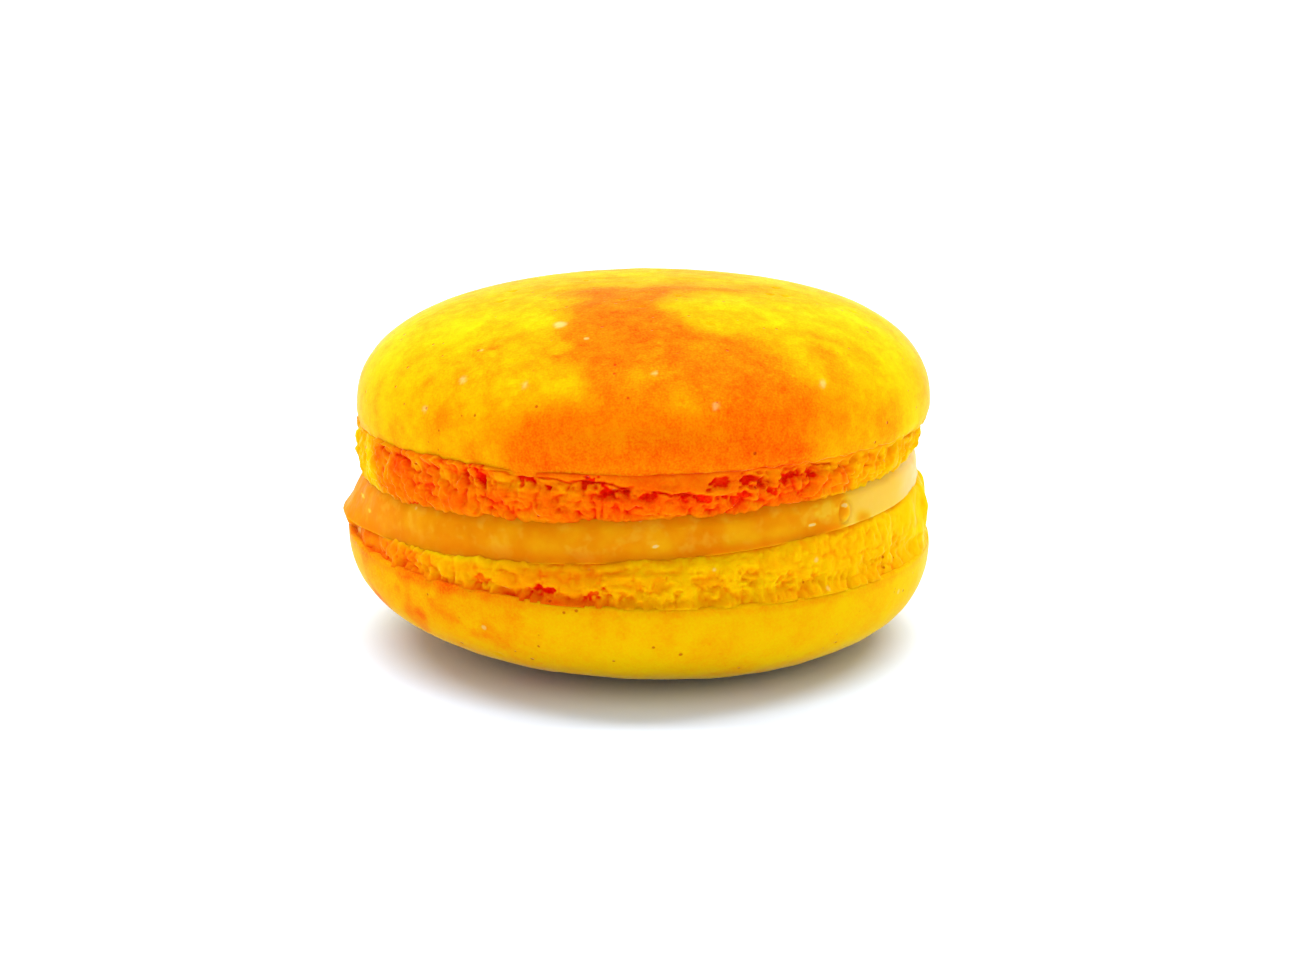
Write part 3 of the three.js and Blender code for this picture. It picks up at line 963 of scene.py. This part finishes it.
class Nodes:
    """A short way to add nodes to a material and link them."""

    def __init__(self, name):
        self.material = bpy.data.materials.new(name)
        self.material.use_nodes = True
        self.tree = self.material.node_tree
        self.tree.nodes.clear()

    def add(self, kind, inputs=None, **settings):
        node = self.tree.nodes.new(kind)
        for key, value in settings.items():
            setattr(node, key, value)
        for key, value in (inputs or {}).items():
            if isinstance(value, bpy.types.NodeSocket):
                self.tree.links.new(value, node.inputs[key])
            else:
                node.inputs[key].default_value = value
        return node

    def math(self, operation, first, second):
        return self.add("ShaderNodeMath", {0: first, 1: second}, operation=operation).outputs[0]

    def noise(self, place, scale, detail=3.0, roughness=0.55):
        values = {"Vector": place, "Scale": scale, "Detail": detail, "Roughness": roughness}
        return self.add("ShaderNodeTexNoise", values).outputs[0]

    def remap(self, value, low, high, to_low, to_high):
        values = {0: value, 1: low, 2: high, 3: to_low, 4: to_high}
        return self.add("ShaderNodeMapRange", values, interpolation_type="SMOOTHSTEP").outputs[0]

    def ramp(self, value, stops):
        node = self.add("ShaderNodeValToRGB", {0: value})
        for place, _ in stops[2:]:
            node.color_ramp.elements.new(place)
        for element, (place, color) in zip(node.color_ramp.elements, sorted(stops)):
            element.position = place
            element.color = color
        return node.outputs[0]

    def blend(self, share, first, second):
        node = self.add("ShaderNodeMix", {0: share}, data_type="RGBA")
        for socket, value in ((node.inputs[6], first), (node.inputs[7], second)):
            if isinstance(value, bpy.types.NodeSocket):
                self.tree.links.new(value, socket)
            else:
                socket.default_value = value
        return node.outputs[2]


def scattered_dots(nodes, place, scale, size, share):
    """Small dots in a share of the cells of a scatter pattern: 1 in a dot, 0 outside."""
    scatter = nodes.add("ShaderNodeTexVoronoi", {"Vector": place, "Scale": scale, "Randomness": 1.0})
    dot = nodes.remap(scatter.outputs["Distance"], size, size * 0.5, 0.0, 1.0)
    channel = nodes.add("ShaderNodeSeparateColor", {0: scatter.outputs["Color"]}).outputs[0]
    chosen = nodes.math("LESS_THAN", channel, share)
    return nodes.math("MULTIPLY", dot, chosen)


def shell_material(name, mottle, grit, painted_shade_factor):
    """Baked almond shell: stained colour with mottling, dark pores, a few pale specks and fine grain,
    dimmed for the lower pieces as painted shade.
    """
    nodes = Nodes(name)
    place = nodes.add("ShaderNodeTexCoord").outputs["Object"]
    stain = nodes.add("ShaderNodeAttribute", attribute_name="stain").outputs["Fac"]
    broad = nodes.math("SUBTRACT", nodes.noise(place, 260.0, 5.0, 0.6), 0.5)
    fine = nodes.math("SUBTRACT", nodes.noise(place, 1500.0, 4.0, 0.7), 0.5)
    tone = nodes.math("ADD", stain, nodes.math("MULTIPLY", broad, mottle))
    tone = nodes.math("ADD", tone, nodes.math("MULTIPLY", fine, mottle))
    tiny = nodes.math("SUBTRACT", nodes.noise(place, 6000.0, 1.0), 0.5)
    tone = nodes.math("ADD", tone, nodes.math("MULTIPLY", tiny, grit))
    # Painted shade: the colours are dimmed for all pieces but the upper cap
    stops = [(at, (painted_shade_factor * red, painted_shade_factor * green, blue, 1)) for at, (red, green, blue) in SHELL_COLORS]
    color = nodes.ramp(tone, stops)
    pores = scattered_dots(nodes, place, scale=1100.0, size=0.17, share=0.16)
    large_pores = scattered_dots(nodes, place, scale=380.0, size=0.08, share=0.24)
    all_pores = nodes.math("MAXIMUM", pores, large_pores)
    specks = scattered_dots(nodes, place, scale=260.0, size=0.07, share=0.12)
    color = nodes.blend(nodes.math("MULTIPLY", all_pores, 0.68), color, PORE_COLOR)
    # Pale flecks and specks, and the lower foot's one painted highlight
    pale = nodes.add("ShaderNodeAttribute", attribute_name="pale").outputs["Fac"]
    specks = nodes.math("MULTIPLY", specks, 0.4)
    specks = nodes.math("MAXIMUM", specks, nodes.math("MULTIPLY", pale, 0.45))
    color = nodes.blend(specks, color, FLECK_COLOR)
    grain = nodes.noise(place, 3600.0, 2.0, 0.6)
    height = nodes.math("SUBTRACT", nodes.math("MULTIPLY", grain, 0.25), all_pores)
    height = nodes.math("ADD", height, nodes.math("MULTIPLY", fine, 0.5))
    bump = nodes.add("ShaderNodeBump", {"Height": height, "Distance": 0.00008, "Strength": 0.6})
    roughness = nodes.remap(fine, -0.3, 0.3, 0.62, 0.82)
    shader = nodes.add(
        "ShaderNodeBsdfPrincipled",
        {
            "Base Color": color,
            "Roughness": roughness,
            "Specular IOR Level": 0.01,
            "Subsurface Weight": 0.5,
            "Subsurface Radius": (1.0, 0.45, 0.08),
            "Subsurface Scale": 0.0014,
            "Sheen Weight": 0.28,
            "Sheen Roughness": 0.2,
            "Sheen Tint": (1.0, 0.94, 0.8, 1.0),
            "Normal": bump.outputs[0],
        },
    )
    nodes.add("ShaderNodeOutputMaterial", {0: shader.outputs[0]})
    return nodes.material


def cream_material():
    """Smooth ochre cream with faint streaks, tiny bubbles and a satin gloss, painted highlights, a paler
    right end and painted shade.
    """
    nodes = Nodes("cream_filling")
    place = nodes.add("ShaderNodeTexCoord").outputs["Object"]
    pale = nodes.add("ShaderNodeAttribute", attribute_name="pale").outputs["Fac"]
    shade = nodes.add("ShaderNodeAttribute", attribute_name="shade").outputs["Fac"]
    streaks = nodes.noise(place, 260.0, 4.0)
    fine = nodes.noise(place, 1500.0, 3.0)
    streaked = nodes.remap(streaks, 0.35, 0.7, 0.0, 1.0)
    color = nodes.blend(streaked, CREAM_COLORS["dark"], CREAM_COLORS["light"])
    curd = nodes.remap(nodes.noise(place, 900.0, 2.0), 0.5, 0.68, 0.0, 0.35)
    color = nodes.blend(curd, color, CREAM_COLORS["curd"])
    # Painted shade, then painted highlights and the paler right end
    color = nodes.blend(nodes.math("MULTIPLY", shade, 0.68), color, CREAM_COLORS["shade"])
    color = nodes.blend(nodes.remap(pale, 0.0, 0.5, 0.0, 1.0), color, CREAM_COLORS["pale_and_highlight"])
    color = nodes.blend(nodes.remap(pale, 0.25, 1.0, 0.0, 1.0), color, CREAM_COLORS["palest_and_highlight"])
    specks = scattered_dots(nodes, place, scale=420.0, size=0.08, share=0.2)
    color = nodes.blend(nodes.math("MULTIPLY", specks, 0.4), color, CREAM_COLORS["speck"])
    height = nodes.math("ADD", nodes.math("MULTIPLY", fine, 0.5), streaks)
    bump = nodes.add("ShaderNodeBump", {"Height": height, "Distance": 0.00012, "Strength": 0.5})
    shader = nodes.add(
        "ShaderNodeBsdfPrincipled",
        {
            "Base Color": color,
            "Roughness": nodes.remap(fine, 0.3, 0.7, 0.34, 0.5),
            "Specular IOR Level": 0.006,
            "Subsurface Weight": 0.6,
            "Subsurface Radius": (1.0, 0.5, 0.12),
            "Subsurface Scale": 0.002,
            "Normal": bump.outputs[0],
        },
    )
    nodes.add("ShaderNodeOutputMaterial", {0: shader.outputs[0]})
    return nodes.material


def dress(piece, node, material):
    """Gives a piece its material, and puts it in the place of a node's solid."""
    piece.data.materials.append(material)
    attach(piece, "root")
    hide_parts(node)


# Stage


def place_camera():
    """The photo's camera: in front, a little above the macaron and aimed at the middle of it."""
    data = bpy.data.cameras.new("camera")
    data.sensor_fit = "HORIZONTAL"
    data.sensor_width = SENSOR_WIDTH
    data.lens = FOCAL_PIXELS * SENSOR_WIDTH / PHOTO_SIZE[0]
    data.shift_x = (PHOTO_SIZE[0] / 2 - AIM_PIXEL[0]) / PHOTO_SIZE[0]
    data.shift_y = (AIM_PIXEL[1] - PHOTO_SIZE[1] / 2) / PHOTO_SIZE[0]
    data.clip_start = NEAREST_SEEN
    camera = bpy.data.objects.new("camera", data)
    bpy.context.scene.collection.objects.link(camera)
    tilt = math.radians(CAMERA_ELEVATION)
    back = Vector((0, -math.cos(tilt), math.sin(tilt))) * CAMERA_DISTANCE * MM
    place = Vector((0, 0, CAMERA_AIM_HEIGHT * MM)) + back
    camera.matrix_world = Matrix.Translation(place) @ Matrix.Rotation(math.pi / 2 - tilt, 4, "X")
    bpy.context.scene.camera = camera


def key_light():
    """A wide soft light over the macaron and a little behind it, aimed at the macaron."""
    data = bpy.data.lights.new("key", "AREA")
    data.shape = "RECTANGLE"
    data.size, data.size_y = KEY_SIZE
    data.energy = KEY_WATTS
    light = bpy.data.objects.new("key", data)
    light.location = KEY_PLACE
    aim = Vector(LIGHT_AIM) - Vector(KEY_PLACE)
    light.rotation_euler = aim.to_track_quat("-Z", "Y").to_euler()
    bpy.context.scene.collection.objects.link(light)


def floor():
    """A plain pale floor."""
    turns = [(-1, -1), (1, -1), (1, 1), (-1, 1)]
    corners = [(FLOOR_REACH * x, FLOOR_REACH * y, -FLOOR_DROP) for x, y in turns]
    mesh = bpy.data.meshes.new("floor")
    mesh.from_pydata(corners, [], [(0, 1, 2, 3)])
    piece = bpy.data.objects.new("floor", mesh)
    bpy.context.scene.collection.objects.link(piece)
    nodes = Nodes("pale_floor")
    place = nodes.add("ShaderNodeTexCoord").outputs["Object"]
    color = nodes.blend(nodes.noise(place, 3.0), *FLOOR_TINTS)
    finish = {"Base Color": color, "Roughness": 0.9, "Specular IOR Level": 0.0}
    shader = nodes.add("ShaderNodeBsdfPrincipled", finish)
    nodes.add("ShaderNodeOutputMaterial", {0: shader.outputs[0]})
    mesh.materials.append(nodes.material)


def studio_light():
    """An even sky and one soft light, shown without any film look."""
    world = bpy.data.worlds.new("studio")
    world.use_nodes = True
    background = world.node_tree.nodes["Background"]
    background.inputs["Color"].default_value = SKY_COLOR
    background.inputs["Strength"].default_value = SKY_STRENGTH
    bpy.context.scene.world = world
    key_light()
    bpy.context.scene.view_settings.view_transform = "Standard"
    bpy.context.scene.view_settings.look = "None"


place_camera()
dress(upper_cap(), "top_shell", shell_material("upper_skin", mottle=0.32, grit=0.34, painted_shade_factor=1.0))
dress(upper_foot(), "top_shell", shell_material("upper_crumb", mottle=0.3, grit=0.08, painted_shade_factor=0.98))
dress(cream(), "filling", cream_material())
dress(lower_foot(), "bottom_shell", shell_material("lower_crumb", mottle=0.24, grit=0.06, painted_shade_factor=0.96))
dress(lower_cap(), "bottom_shell", shell_material("lower_skin", mottle=0.34, grit=0.3, painted_shade_factor=0.93))
floor()
studio_light()
